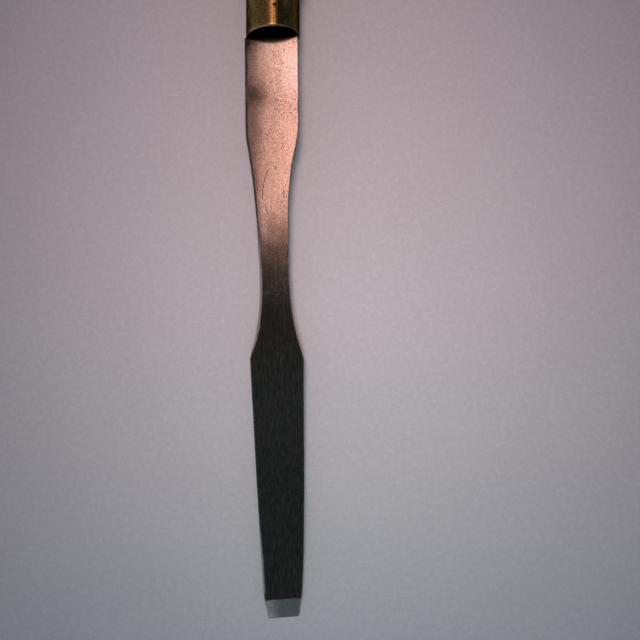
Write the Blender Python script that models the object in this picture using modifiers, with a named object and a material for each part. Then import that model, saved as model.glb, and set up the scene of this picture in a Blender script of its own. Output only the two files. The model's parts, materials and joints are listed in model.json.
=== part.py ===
"""Bench chisel: a flat, waisted tang blade in a pinned brass ferrule and a flat-sided turned handle.

The tool is drawn on its own axis, with the ferrule's mouth at the origin, the handle towards +Y, the
cutting edge towards -Y and the ground bevel up. An empty then lays it down as it rests on a bench: on its
cutting edge and on the front end of the handle's lower flat. Units are metres, +Z is up.
"""

import math

import bmesh
import bpy
from mathutils import Vector

MM = 0.001
GAP = 0.3 * MM  # clearance between pieces that touch
WELD = 0.01 * MM

# Blade, in front of the ferrule's mouth.
STRAP_LEFT_AT_MOUTH = 10.0 * MM
STRAP_RIGHT_AT_MOUTH = 8.95 * MM
BLADE_HALF_AT_MOUTH = 2.3 * MM
BLADE_HALF_AT_EDGE = 1.65 * MM
EDGE_EASE = 0.45 * MM
BEVEL_START = 199.1 * MM
BEVEL_LENGTH = 7.9 * MM
BLADE_LENGTH = BEVEL_START + BEVEL_LENGTH
EDGE_CENTRE_X = 3.7 * MM
EDGE_SKEW = math.radians(4.2)  # the cutting edge isn't square to the tool's axis
EDGE_LAND = 0.15 * MM  # worn thickness left at the cutting edge

# The two long sides of the blade: distance in front of the mouth, then distance from the tool's axis.
# The strap leans a little to the left, the waist is hollowed by hand, and the working end tapers.
LEFT_SIDE = (
    (25.5 * MM, 9.7 * MM),
    (35.2 * MM, 9.55 * MM),
    (45.1 * MM, 8.05 * MM),
    (56.7 * MM, 6.55 * MM),
    (75.7 * MM, 5.0 * MM),
    (92.7 * MM, 4.35 * MM),
    (104.7 * MM, 5.45 * MM),
    (115.3 * MM, 7.85 * MM),
    (166.7 * MM, 4.95 * MM),
    (197.7 * MM, 2.85 * MM),
    (208.6 * MM, 1.3 * MM),
)
RIGHT_SIDE = (
    (25.5 * MM, 9.35 * MM),
    (35.2 * MM, 9.1 * MM),
    (45.1 * MM, 7.2 * MM),
    (56.7 * MM, 5.95 * MM),
    (73.7 * MM, 5.7 * MM),
    (89.7 * MM, 6.15 * MM),
    (102.2 * MM, 7.65 * MM),
    (115.3 * MM, 11.15 * MM),
    (184.0 * MM, 11.15 * MM),
    (197.7 * MM, 10.65 * MM),
    (207.7 * MM, 9.3 * MM),
)
CORNERS = (0, 7, 9, 10)  # which points of a side are corners; the rest are smooth

# Tang, behind the mouth.
TANG_LENGTH = 62.0 * MM
TANG_ROOT_HALF = Vector((4.8, 2.0)) * MM
TANG_END_HALF = Vector((1.6, 1.1)) * MM
TANG_ROOT_DEPTH = 6.0 * MM  # how far the tang's root runs into the strap

# Ferrule.
FERRULE_RADIUS = 9.6 * MM
FERRULE_WALL = 0.9 * MM
FERRULE_LENGTH = 18.0 * MM
RIM_ROUND = 0.4 * MM
PIN_RADIUS = 0.6 * MM
PIN_SETBACK = 7.3 * MM
PIN_TURN = math.radians(7)  # about the tool's axis, off the vertical
PIN_PROUD = 0.1 * MM
PIN_DRESSING = 0.2 * MM

# Handle.
NOSE_RECESS = 2.2 * MM
NOSE_CHAMFER = 0.5 * MM
SHOULDER_RADIUS = 10.3 * MM
SHOULDER_CHAMFER = 0.4 * MM
BEAD_RADIUS = 11.2 * MM
BEAD_WIDTH = 3.6 * MM
QUIRK_RADIUS = 10.0 * MM
FLAT_HALF = 12.4 * MM
FLAT_START = 50.0 * MM
SWELL_RADIUS = 17.2 * MM
SWELL_AT = 102.0 * MM
HANDLE_END = 137.0 * MM
DOME_START = 122.0 * MM
DOME_RADIUS = 15.6 * MM

# How finely the shapes are divided.
TURNED_STEPS = 72
PIN_SIDES = 32
ROUND_STEPS = 4
BEAD_STEPS = 8
DOME_STEPS = 12
SWELL_STEPS = 26
OUTLINE_STEPS = 7
SMOOTH_ANGLE = math.radians(35)
CORNER_ANGLE = math.radians(50)
FLAT_ANGLE = 0.001  # radians between faces that lie in one plane


def clear_scene():
    for item in list(bpy.data.objects):
        bpy.data.objects.remove(item)


def make_collection(name):
    collection = bpy.data.collections.new(name)
    bpy.context.scene.collection.children.link(collection)
    return collection


def make_material(name, colour, roughness, metallic):
    material = bpy.data.materials.new(name)
    material.use_nodes = True
    shader = material.node_tree.nodes["Principled BSDF"]
    shader.inputs["Base Color"].default_value = (*colour, 1.0)
    shader.inputs["Roughness"].default_value = roughness
    shader.inputs["Metallic"].default_value = metallic
    return material


def add_object(name, mesh, collection, parent):
    item = bpy.data.objects.new(name, mesh)
    collection.objects.link(item)
    item.parent = parent
    return item


def add_cutter(name, mesh, parent):
    cutter = add_object(name, mesh, cutters, parent)
    cutter.hide_render = True
    cutter.display_type = "WIRE"
    return cutter


def cut(item, cutter, operation="DIFFERENCE"):
    boolean = item.modifiers.new(cutter.name, "BOOLEAN")
    boolean.operation = operation
    boolean.object = cutter
    boolean.solver = "EXACT"


def smooth_by_angle(mesh):
    mesh.shade_smooth()
    mesh.set_sharp_from_angle(angle=SMOOTH_ANGLE)


def arc(centre, radius, start, end, steps):
    """Points (radius from the axis, height) on an arc, with both ends, angles in degrees."""
    points = []
    for i in range(steps + 1):
        angle = math.radians(start + (end - start) * i / steps)
        points.append((centre[0] + radius * math.cos(angle), centre[1] + radius * math.sin(angle)))
    return points


def turned(name, profile, closed, material, parent):
    """A piece turned about the tool's axis; the profile is (radius, distance behind the mouth)."""
    mesh = bpy.data.meshes.new(name)
    shape = bmesh.new()
    points = [shape.verts.new((radius, 0.0, height)) for radius, height in profile]
    for first, second in zip(points, points[1:]):
        shape.edges.new((first, second))
    if closed:
        shape.edges.new((points[-1], points[0]))
    shape.to_mesh(mesh)
    shape.free()
    item = add_object(name, mesh, chisel, parent)
    item.rotation_euler = (-math.pi / 2, 0.0, 0.0)
    screw = item.modifiers.new("turning", "SCREW")
    screw.steps = TURNED_STEPS
    screw.render_steps = TURNED_STEPS
    screw.use_merge_vertices = True
    screw.merge_threshold = WELD
    screw.use_smooth_shade = True
    mesh.materials.append(material)
    return item


def prism_along_y(root_half, end_half, start, end):
    """A four-sided spike along +Y: half width and half thickness at its root and at its end."""
    mesh = bpy.data.meshes.new("spike")
    shape = bmesh.new()
    bmesh.ops.create_cube(shape, size=2.0)
    for corner in shape.verts:
        behind = corner.co.y > 0
        half = end_half if behind else root_half
        corner.co = (corner.co.x * half.x, end if behind else start, corner.co.z * half.y)
    shape.to_mesh(mesh)
    shape.free()
    return mesh


def cylinder_along_z(radius, half_length):
    mesh = bpy.data.meshes.new("cylinder")
    shape = bmesh.new()
    bmesh.ops.create_cone(
        shape, cap_ends=True, segments=PIN_SIDES, radius1=radius, radius2=radius, depth=2 * half_length
    )
    shape.to_mesh(mesh)
    shape.free()
    return mesh


def box_between(low, high):
    mesh = bpy.data.meshes.new("box")
    shape = bmesh.new()
    bmesh.ops.create_cube(shape, size=1.0)
    for corner in shape.verts:
        corner.co = [a + (b - a) * (c + 0.5) for a, b, c in zip(low, high, corner.co)]
    shape.to_mesh(mesh)
    shape.free()
    return mesh


def blade_outline():
    """The blade seen from above, as a closed flat curve with corners where the sides have them."""
    curve = bpy.data.curves.new("blade_outline", "CURVE")
    curve.dimensions = "2D"
    curve.fill_mode = "BOTH"
    curve.extrude = BLADE_HALF_AT_EDGE
    curve.resolution_u = OUTLINE_STEPS
    left = [(-x, -y, i in CORNERS) for i, (y, x) in enumerate(LEFT_SIDE)]
    right = [(x, -y, i in CORNERS) for i, (y, x) in enumerate(RIGHT_SIDE)]
    shoulder = [(STRAP_RIGHT_AT_MOUTH, -GAP, True), (-STRAP_LEFT_AT_MOUTH, -GAP, True)]
    points = left + right[::-1] + shoulder
    spline = curve.splines.new("BEZIER")
    spline.bezier_points.add(len(points) - 1)
    spline.use_cyclic_u = True
    for place, (x, y, corner) in zip(spline.bezier_points, points):
        place.co = (x, y, 0.0)
        kind = "VECTOR" if corner else "AUTO"
        place.handle_left_type = kind
        place.handle_right_type = kind
    return curve


def half_thickness(forward):
    """Half the blade's thickness at a distance in front of the mouth: a straight taper."""
    share = forward / BLADE_LENGTH
    return BLADE_HALF_AT_MOUTH + (BLADE_HALF_AT_EDGE - BLADE_HALF_AT_MOUTH) * share


def make_blade(material, parent):
    outline = add_object("blade_outline", blade_outline(), cutters, None)
    bpy.context.view_layer.update()
    solid = outline.evaluated_get(bpy.context.evaluated_depsgraph_get())
    mesh = bpy.data.meshes.new_from_object(solid)
    bpy.data.objects.remove(outline)
    shape = bmesh.new()
    shape.from_mesh(mesh)
    bmesh.ops.remove_doubles(shape, verts=shape.verts, dist=WELD)
    for corner in shape.verts:
        corner.co.z = math.copysign(half_thickness(-corner.co.y), corner.co.z)
    inner = [edge for edge in shape.edges if len(edge.link_faces) == 2]
    flat = [edge for edge in inner if edge.calc_face_angle() < FLAT_ANGLE]
    bmesh.ops.dissolve_edges(shape, edges=flat, use_verts=False)
    shape.to_mesh(mesh)
    shape.free()
    mesh.name = "blade"
    mesh.materials.clear()
    mesh.materials.append(material)
    blade = add_object("blade", mesh, chisel, parent)
    ease = blade.modifiers.new("eased edges", "BEVEL")
    ease.width = EDGE_EASE
    ease.segments = 2
    ease.limit_method = "ANGLE"
    ease.angle_limit = CORNER_ANGLE

    stone = add_cutter("bevel_stone", bevel_stone(), parent)
    stone.location = (EDGE_CENTRE_X, -BLADE_LENGTH, 0.0)
    stone.rotation_euler = (0.0, 0.0, EDGE_SKEW)
    cut(blade, stone)

    tang = add_cutter("tang_shape", tang_mesh(0.0, -TANG_ROOT_DEPTH), parent)
    cut(blade, tang, "UNION")
    return blade


def bevel_stone():
    """The wedge of steel ground away above the bevel and in front of the cutting edge."""
    reach = BLADE_LENGTH / 10
    top = half_thickness(BEVEL_START)
    bottom = half_thickness(BLADE_LENGTH)
    mesh = bpy.data.meshes.new("stone")
    shape = bmesh.new()
    section = (
        (BEVEL_LENGTH, top),
        (0.0, EDGE_LAND - bottom),
        (0.0, -reach),
        (-reach, -reach),
        (-reach, reach),
        (BEVEL_LENGTH + (reach - top) * BEVEL_LENGTH / (top + bottom - EDGE_LAND), reach),
    )
    face = shape.faces.new([shape.verts.new((-reach, y, z)) for y, z in section])
    swept = bmesh.ops.extrude_face_region(shape, geom=[face])
    corners = [part for part in swept["geom"] if isinstance(part, bmesh.types.BMVert)]
    bmesh.ops.translate(shape, verts=corners, vec=(2 * reach, 0.0, 0.0))
    bmesh.ops.recalc_face_normals(shape, faces=shape.faces)
    shape.to_mesh(mesh)
    shape.free()
    return mesh


def tang_mesh(clearance, start):
    """The tang's spike, or with a clearance the hole that takes it."""
    grow = Vector((clearance, clearance))
    slope = (TANG_END_HALF - TANG_ROOT_HALF) / TANG_LENGTH
    end = TANG_LENGTH + clearance
    return prism_along_y(
        TANG_ROOT_HALF + slope * start + grow, TANG_ROOT_HALF + slope * end + grow, start, end
    )


def make_ferrule(material, parent):
    inner = FERRULE_RADIUS - FERRULE_WALL
    outer_corner = FERRULE_RADIUS - RIM_ROUND
    profile = arc((outer_corner, FERRULE_LENGTH - RIM_ROUND), RIM_ROUND, 90, 0, ROUND_STEPS)
    profile += arc((outer_corner, RIM_ROUND), RIM_ROUND, 0, -90, ROUND_STEPS)
    profile += arc((inner + RIM_ROUND, RIM_ROUND), RIM_ROUND, -90, -180, ROUND_STEPS)
    profile += [(inner, FERRULE_LENGTH)]
    return turned("ferrule", profile, True, material, parent)


def ease_wave(share):
    return (1.0 - math.cos(math.pi * share)) / 2.0


def swell(distance):
    """The handle's radius from the quirk to the dome: a half wave up to the fattest place, then a curve down.

    The wave is raised to the power that brings it to the flats' half thickness just where they start.
    """
    if distance >= SWELL_AT:
        share = (distance - SWELL_AT) / (DOME_START - SWELL_AT)
        return SWELL_RADIUS - (SWELL_RADIUS - DOME_RADIUS) * share**2
    start = FERRULE_LENGTH + GAP + BEAD_WIDTH
    rise = SWELL_RADIUS - QUIRK_RADIUS
    wave = ease_wave((distance - start) / (SWELL_AT - start))
    wave_at_flat = ease_wave((FLAT_START - start) / (SWELL_AT - start))
    power = math.log((FLAT_HALF - QUIRK_RADIUS) / rise) / math.log(wave_at_flat)
    return QUIRK_RADIUS + rise * wave**power


def handle_profile():
    """From the middle of the butt, down the outside, to the middle of the nose inside the ferrule."""
    shoulder = FERRULE_LENGTH + GAP
    bead_end = shoulder + BEAD_WIDTH
    points = [(0.0, HANDLE_END)]
    for i in range(1, DOME_STEPS + 1):
        angle = math.pi / 2 * i / DOME_STEPS
        height = (HANDLE_END - DOME_START) * math.cos(angle)
        points.append((DOME_RADIUS * math.sin(angle), DOME_START + height))
    for i in range(1, SWELL_STEPS):
        distance = DOME_START + (bead_end - DOME_START) * i / SWELL_STEPS
        points.append((swell(distance), distance))
    points.append((QUIRK_RADIUS, bead_end))
    for i in range(BEAD_STEPS + 1):
        share = i / BEAD_STEPS
        side = QUIRK_RADIUS + (SHOULDER_RADIUS - QUIRK_RADIUS) * share
        bulge = (BEAD_RADIUS - SHOULDER_RADIUS) * math.sin(math.pi * share)
        width = BEAD_WIDTH - 2 * SHOULDER_CHAMFER
        points.append((side + bulge, bead_end - SHOULDER_CHAMFER - width * share))
    spigot = FERRULE_RADIUS - FERRULE_WALL - GAP
    points.append((SHOULDER_RADIUS - SHOULDER_CHAMFER, shoulder))
    points.append((spigot, shoulder))
    points.append((spigot, NOSE_RECESS + NOSE_CHAMFER))
    points.append((spigot - NOSE_CHAMFER, NOSE_RECESS))
    points.append((0.0, NOSE_RECESS))
    return points


def make_handle(material, parent, pin_hole):
    handle = turned("handle", handle_profile(), False, material, parent)
    reach = 2 * SWELL_RADIUS
    front = FERRULE_LENGTH + BEAD_WIDTH
    back = HANDLE_END + reach
    for name, low, high in (("upper", FLAT_HALF, reach), ("lower", -reach, -FLAT_HALF)):
        plane = add_cutter(f"{name}_flat", box_between((-reach, front, low), (reach, back, high)), parent)
        cut(handle, plane)
    socket = add_cutter("tang_socket", tang_mesh(GAP, -TANG_ROOT_DEPTH), parent)
    cut(handle, socket)
    cut(handle, pin_hole)
    return handle


def make_pin(material, parent):
    """A steel pin through the ferrule, the wood and the tang, with both ends dressed to a low dome."""
    mesh = cylinder_along_z(PIN_RADIUS, FERRULE_RADIUS + PIN_PROUD)
    mesh.materials.append(material)
    smooth_by_angle(mesh)
    pin = add_object("ferrule_pin", mesh, chisel, parent)
    pin.location = (0.0, PIN_SETBACK, 0.0)
    pin.rotation_euler = (0.0, PIN_TURN, 0.0)
    dress = pin.modifiers.new("dressed ends", "BEVEL")
    dress.width = PIN_DRESSING
    dress.segments = 3
    dress.limit_method = "ANGLE"
    dress.angle_limit = CORNER_ANGLE
    return pin


def lay_down(parent):
    """Turns the tool until the cutting edge and the handle's lower flat touch the bench, then centres it."""
    edge_drop = FLAT_HALF - half_thickness(BLADE_LENGTH)
    parent.rotation_euler = (math.atan2(edge_drop, BLADE_LENGTH + FLAT_START), 0.0, 0.0)
    bpy.context.view_layer.update()
    graph = bpy.context.evaluated_depsgraph_get()
    low = Vector((math.inf,) * 3)
    high = Vector((-math.inf,) * 3)
    for item in chisel.objects:
        solid = item.evaluated_get(graph)
        for corner in solid.data.vertices:
            place = solid.matrix_world @ corner.co
            low = Vector(map(min, low, place))
            high = Vector(map(max, high, place))
    parent.location = (-(low.x + high.x) / 2, -(low.y + high.y) / 2, -low.z)


clear_scene()
chisel = make_collection("bench_chisel")
cutters = make_collection("cutters")
bench_pose = bpy.data.objects.new("bench_pose", None)
bpy.context.scene.collection.objects.link(bench_pose)

steel = make_material("worn_steel", (0.30, 0.29, 0.28), 0.34, 1.0)
brass = make_material("old_brass", (0.42, 0.30, 0.12), 0.38, 1.0)
beech = make_material("handled_beech", (0.42, 0.23, 0.11), 0.42, 0.0)
iron = make_material("iron_pin", (0.12, 0.11, 0.10), 0.5, 1.0)

pin_hole = add_cutter("pin_hole", cylinder_along_z(PIN_RADIUS + GAP, 2 * FERRULE_RADIUS), bench_pose)
pin_hole.location = (0.0, PIN_SETBACK, 0.0)
pin_hole.rotation_euler = (0.0, PIN_TURN, 0.0)

blade = make_blade(steel, bench_pose)
cut(blade, pin_hole)
ferrule = make_ferrule(brass, bench_pose)
cut(ferrule, pin_hole)
make_handle(beech, bench_pose, pin_hole)
make_pin(iron, bench_pose)
lay_down(bench_pose)
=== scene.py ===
"""Looks of the bench chisel: worn steel, old brass and a handled beech handle on a pale sheet, in soft light.

The visible pieces are fine skins laid over the CAD solids. They are drawn in the tool's own frame, with the
ferrule's mouth at the origin, the handle towards +Y, the cutting edge towards -Y and the bevel up, and their
sizes are measured from the CAD solids by rays.
"""

import json
import math
import random
from collections import namedtuple

import bmesh
import bpy
import numpy as np
from mathutils import Matrix, Vector, noise
from mathutils.bvhtree import BVHTree


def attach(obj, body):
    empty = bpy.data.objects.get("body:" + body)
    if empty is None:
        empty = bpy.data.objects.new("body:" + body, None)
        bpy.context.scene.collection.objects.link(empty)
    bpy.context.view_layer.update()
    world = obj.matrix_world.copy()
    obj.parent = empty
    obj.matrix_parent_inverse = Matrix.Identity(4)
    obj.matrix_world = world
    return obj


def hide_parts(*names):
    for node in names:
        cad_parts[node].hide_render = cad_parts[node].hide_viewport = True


MM = 0.001

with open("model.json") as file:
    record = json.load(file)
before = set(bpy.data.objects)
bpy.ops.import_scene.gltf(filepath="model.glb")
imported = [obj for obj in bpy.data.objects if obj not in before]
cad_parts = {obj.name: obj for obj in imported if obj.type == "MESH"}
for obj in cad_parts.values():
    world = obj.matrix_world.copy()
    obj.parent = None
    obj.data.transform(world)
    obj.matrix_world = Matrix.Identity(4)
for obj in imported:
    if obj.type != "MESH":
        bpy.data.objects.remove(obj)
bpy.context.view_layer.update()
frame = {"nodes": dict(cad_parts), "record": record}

# Details of the skins that the CAD solids don't have.
CORNER_STEPS = 4
SIDE_STEPS = 5
FACE_STEPS = 26
ROW_STEP = 0.5 * MM
LAST_ROW = -0.31 * MM  # the last row in front of the blade's shoulders
SKEW_FADE = 45 * MM  # rows across the blade turn square to it over this length
TIP_MIDDLE = 4 * MM  # how far the middle of the tip lies right of the tool's axis
BEVEL_PROBES = (2 * MM, 5 * MM)  # distances from the tip that measure the bevel
FACE_PROBES = (20 * MM, 80 * MM)  # and those that measure the face
TIP_REACH = 2.6 * MM  # nearer to the cutting edge than this, the sides run on in a straight line
TIP_RUN = 2.0 * MM  # length that gives the direction of that line
EDGE_LAND = 0.15 * MM  # worn thickness left at the cutting edge
MICRO_BEVEL = 0.45 * MM  # length of the steeper strip along the cutting edge
MICRO_BEVEL_RISE = 0.12 * MM
WAIST_RUB = 0.22 * MM  # how much wider the upper left arris is worn at the waist
FACE_HEIGHT = 2.3 * MM  # the height of the blade's face above the tool's axis, at the mouth
FACE_TAPER = 0.00314  # how much the face rises for each unit of length towards the mouth
TANG_ROUND = 0.5 * MM
TANG_PROBE = -1.35 * MM  # the tang's height is measured beside the pin's hole

# The widths of the four arrises and how many nicks each has: upper and lower right, lower and upper left.
ARRISES = (0.17 * MM, 0.34 * MM, 0.34 * MM, 0.36 * MM)
BEVEL_ARRISES = (0.12 * MM, 0.2 * MM, 0.2 * MM, 0.12 * MM)
NICKS = (16, 9, 9, 20)

PIN_SIDES = 28
PIN_FIT = 0.04 * MM
PIN_DOME = 0.22 * MM
PIN_DOME_SHARES = (0.95, 0.86, 0.7, 0.45, 0.15)  # radii of the rings on the pin's domed ends

FERRULE_SIDES = 192
FERRULE_WALL = 0.9 * MM
FERRULE_RIM = 0.42 * MM
FERRULE_REAR_RIM = 0.3 * MM
MOUTH_SLANT = 0.055  # the ferrule's mouth and the strap's shoulders are not quite square
SLANT_FADE = 8 * MM

HANDLE_SIDES = 168
SHOULDER_GAP = 0.3 * MM  # between the ferrule and the handle's shoulder
BEAD_LENGTH = 6 * MM
BUTT_LENGTH = 17 * MM
SOCKET_FIT = 0.25 * MM

FAR = 60 * MM  # where measuring rays start from


# ---------------------------------------------------------------- the tool's frame and its measures


def find_tool_frame():
    """The CAD's own frame of the tool: the ferrule's mouth, and the tilt that the handle's flats give."""
    flat = next(m for m in frame["record"]["mounts"] if m["name"] == "handle_lower_flat")
    tilt = math.atan2(flat["axis"][1], -flat["axis"][2])
    level = Matrix.Rotation(-tilt, 4, "X")
    ring = np.array([(level @ v.co)[:] for v in frame["nodes"]["ferrule"].data.vertices])
    low, high = ring.min(0), ring.max(0)
    mouth = level.inverted() @ Vector(((low[0] + high[0]) / 2, low[1], (low[2] + high[2]) / 2))
    return tilt, mouth, Matrix.Translation(mouth) @ level.inverted(), high - low


TILT, MOUTH, TOOL, FERRULE_SIZE = find_tool_frame()
FERRULE_RADIUS = FERRULE_SIZE[2] / 2
FERRULE_LENGTH = FERRULE_SIZE[1]


class Solid:
    """A CAD node in the tool's frame, measured by rays."""

    def __init__(self, node):
        mesh = frame["nodes"][node].data
        into_tool = TOOL.inverted()
        self.corners = [into_tool @ v.co for v in mesh.vertices]
        self.tree = BVHTree.FromPolygons(self.corners, [p.vertices[:] for p in mesh.polygons])

    def reach(self, start, direction):
        """Where a ray first meets the solid."""
        return self.tree.ray_cast(Vector(start), Vector(direction).normalized())[0]

    def span(self, axis):
        places = [corner[axis] for corner in self.corners]
        return min(places), max(places)


def bumpy(place, size, seed=0.0):
    """Smooth noise from about -1 to 1, with lumps of that size."""
    return noise.noise(Vector(place) / size + Vector((seed, 2.7 * seed, -1.3 * seed)))


def ease(value, low, high):
    """A smooth step from 0 at low to 1 at high."""
    share = min(1.0, max(0.0, (value - low) / (high - low)))
    return share * share * (3 - 2 * share)


# ---------------------------------------------------------------- mesh helpers


def skin(name, rings, loop=False, marks=None):
    """A closed skin over rings of points in the tool's frame. Its ends are fans, or it closes on itself."""
    count = len(rings[0])
    rows = len(rings)
    shape = bmesh.new()
    grid = [[shape.verts.new(TOOL @ Vector(place)) for place in ring] for ring in rings]
    for row in range(rows if loop else rows - 1):
        ahead, behind = grid[row], grid[(row + 1) % rows]
        for i in range(count):
            j = (i + 1) % count
            shape.faces.new((ahead[i], behind[i], behind[j], ahead[j]))
    ends = [] if loop else [grid[0], grid[-1]]
    for ring in ends:
        middle = shape.verts.new(sum((corner.co for corner in ring), Vector()) / count)
        for i in range(count):
            shape.faces.new((ring[i], ring[(i + 1) % count], middle))
    bmesh.ops.recalc_face_normals(shape, faces=shape.faces)
    mesh = bpy.data.meshes.new(name)
    shape.to_mesh(mesh)
    shape.free()
    for label, values in (marks or {}).items():
        layer = mesh.attributes.new(label, "FLOAT", "POINT")
        values = values + [0.0] * (len(mesh.vertices) - len(values))
        layer.data.foreach_set("value", np.array(values, np.float32))
    mesh.shade_smooth()
    piece = bpy.data.objects.new(name, mesh)
    bpy.context.scene.collection.objects.link(piece)
    return piece


def bore(piece, cutter):
    """Cuts the cutter's shape out of the piece for good, and drops the cutter."""
    hole = piece.modifiers.new("bore", "BOOLEAN")
    hole.object = cutter
    hole.solver = "EXACT"
    bpy.context.view_layer.update()
    solid = piece.evaluated_get(bpy.context.evaluated_depsgraph_get())
    mesh = bpy.data.meshes.new_from_object(solid)
    piece.modifiers.clear()
    piece.data = mesh
    bpy.data.objects.remove(cutter)


def finish_piece(piece, node, material, sharp=40):
    """Gives a finished piece its material and sharp edges by angle, hangs it under the root body, and hides
    its CAD node.
    """
    piece.data.materials.clear()
    piece.data.materials.append(material)
    piece.data.set_sharp_from_angle(angle=math.radians(sharp))
    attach(piece, "root")
    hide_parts(node)


# ---------------------------------------------------------------- blade

Row = namedtuple("Row", "y slope left right back face ground")


def cutting_edge(solid):
    """The cutting edge seen from above: where it crosses the middle of the tip, and its slope."""
    tip = solid.span(1)[0]
    low = solid.reach((TIP_MIDDLE, tip + 7 * MM, -FAR), (0, 0, 1)).z + 0.09 * MM
    left, right = (solid.reach((x, tip - FAR, low), (0, 1, 0)) for x in (1 * MM, 7.5 * MM))
    slope = (right.y - left.y) / (right.x - left.x)
    return left.y + slope * (TIP_MIDDLE - left.x), slope


def face_height(solid, x, y, up=True):
    side = FAR if up else -FAR
    return solid.reach((x, y, side), (0, 0, -side)).z


def bevel_top(solid, tip):
    """Where the bevel meets the blade's face: the crossing of two straight lines."""
    lines = []
    for near, far in (BEVEL_PROBES, FACE_PROBES):
        heights = [face_height(solid, TIP_MIDDLE, tip + d) for d in (near, far)]
        slope = (heights[1] - heights[0]) / (far - near)
        lines.append((slope, heights[0] - slope * near))
    (bevel_slope, bevel_start), (face_slope, face_start) = lines
    return tip + (face_start - bevel_start) / (bevel_slope - face_slope)


def row_places(tip, crease):
    """Where the rows lie along the blade: even steps over the bevel, and even steps over the rest."""
    on_bevel = round((crease - tip) / ROW_STEP)
    behind = round(-crease / ROW_STEP)
    places = [tip + (crease - tip) * i / on_bevel for i in range(on_bevel)]
    return places + [crease * (1 - i / behind) for i in range(behind)] + [LAST_ROW]


def sides_at(solid, y, slope, height):
    """Where a line across the blade, of that slope, meets its left and right sides."""
    return [
        solid.reach((x, y + slope * (x - TIP_MIDDLE), height), (-x, -slope * x, 0)).x for x in (-FAR, FAR)
    ]


def blade_rows(solid):
    """Stations along the blade, measured on the CAD solid; near the tip they run along the skewed edge."""
    tip, skew = cutting_edge(solid)
    crease = bevel_top(solid, tip)
    crease_height = face_height(solid, TIP_MIDDLE, crease + 0.05 * MM)
    rows = []
    for y in row_places(tip, crease):
        slope = skew * (1 - ease(y, crease, crease + SKEW_FADE))
        height = -1.0 * MM if y < crease else 0.0
        probe = max(y, tip + TIP_REACH)
        left, right = sides_at(solid, probe, slope, height)
        if y < probe:
            behind = sides_at(solid, probe + TIP_RUN, slope, height)
            left -= (behind[0] - left) * (probe - y) / TIP_RUN
            right -= (behind[1] - right) * (probe - y) / TIP_RUN
        back = face_height(solid, TIP_MIDDLE if y < -60 * MM else 0.0, max(y, tip + 1 * MM), up=False)
        if y < crease:
            share = (y - tip) / (crease - tip)
            face = back + EDGE_LAND + (crease_height - back - EDGE_LAND) * share
            face += MICRO_BEVEL_RISE * ease(y - tip, 0, MICRO_BEVEL) * (1 - share)
        else:
            face = face_height(solid, (left + right) / 2, min(y, -0.5 * MM))
        rows.append(Row(y, slope, left, right, back, face, y < crease - 0.1 * MM))
    return tip, rows


def section(left, right, back, face, soft):
    """Points (x, z) around a cross-section, from its upper right arris on, and 1 for each on an arris."""
    most = 0.42 * min(right - left, face - back)
    soft = [min(most, radius) for radius in soft]
    corners = (
        (right - soft[0], face - soft[0], soft[0], 90),
        (right - soft[1], back + soft[1], soft[1], 0),
        (left + soft[2], back + soft[2], soft[2], -90),
        (left + soft[3], face - soft[3], soft[3], -180),
    )
    arcs = []
    for x, z, radius, start in corners:
        angles = [math.radians(start - 90 * k / CORNER_STEPS) for k in range(CORNER_STEPS + 1)]
        arcs.append([(x + radius * math.cos(a), z + radius * math.sin(a)) for a in angles])
    points = []
    on_arris = []
    for i, arc in enumerate(arcs):
        points += arc
        on_arris += [1.0] * len(arc)
        end, start = arc[-1], arcs[(i + 1) % 4][0]
        steps = SIDE_STEPS if i % 2 == 0 else FACE_STEPS
        for k in range(1, steps):
            share = k / steps
            points.append((end[0] + (start[0] - end[0]) * share, end[1] + (start[1] - end[1]) * share))
            on_arris.append(0.0)
    return points, on_arris


def nicks(rng, low, high, count):
    """Small bruises along an arris: place, length and depth."""
    return [
        (rng.uniform(low, high), rng.uniform(0.6, 1.5) * MM, rng.uniform(0.04, 0.2) * MM)
        for _ in range(count)
    ]


def bruise(y, marks):
    return sum(depth * math.exp(-(((y - place) / length) ** 2)) for place, length, depth in marks)


def arris_widths(row, marks):
    """The widths of the four arrises at a row, with wear, nicks and the rubbed left side of the waist."""
    if row.ground:
        return BEVEL_ARRISES
    widths = [
        width * (1 + 0.35 * bumpy((row.y, k, 0), 9 * MM, k)) + bruise(row.y, marks[k])
        for k, width in enumerate(ARRISES)
    ]
    widths[3] += WAIST_RUB * ease(row.y, -114 * MM, -104 * MM) * (1 - ease(row.y, -86 * MM, -66 * MM))
    return widths


def blade_point(x, z, row, tip):
    """A point of the blade's skin, moved a little as forging, grinding and use have left it."""
    y = row.y
    place = (x, y, z)
    on_face = z > (row.face + row.back) / 2
    lump = 0.020 * bumpy(place, 16 * MM, 1) + 0.010 * bumpy(place, 5 * MM, 2)
    lump += 0.004 * bumpy((x, y * 0.25, z), 1.4 * MM, 3)
    lump *= 0.35 if row.ground else 1.0
    side = 0.035 * bumpy(place, 9 * MM, 4) + 0.005 * bumpy(place, 3.1 * MM, 5)
    across = (x - row.left) / (row.right - row.left)
    fall = 0.05 * (2 * across - 1) ** 4 if on_face and not row.ground else 0.0
    z += (lump - fall if on_face else -0.6 * lump) * MM * ease(y, tip, tip + 2 * MM)
    x += side * MM * (1 if across > 0.5 else -1) * ease(abs(2 * across - 1), 0.9, 1.0)
    chip = 0.05 * MM * bumpy(place, 0.8 * MM, 6) if y == tip else 0.0
    slant = MOUTH_SLANT * x * ease(y, -SLANT_FADE, 0.0)
    return x, y + row.slope * (x - TIP_MIDDLE) + slant + chip, z


def tang_size(solid, y):
    """Half the tang's width and half its height at a place along it."""
    probe = min(max(y, 0.5 * MM), solid.span(1)[1] - 0.5 * MM)
    side = abs(solid.reach((FAR, probe, 0), (-1, 0, 0)).x)
    half = solid.reach((TANG_PROBE, probe, FAR), (0, 0, -1)).z
    return side, half


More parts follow.
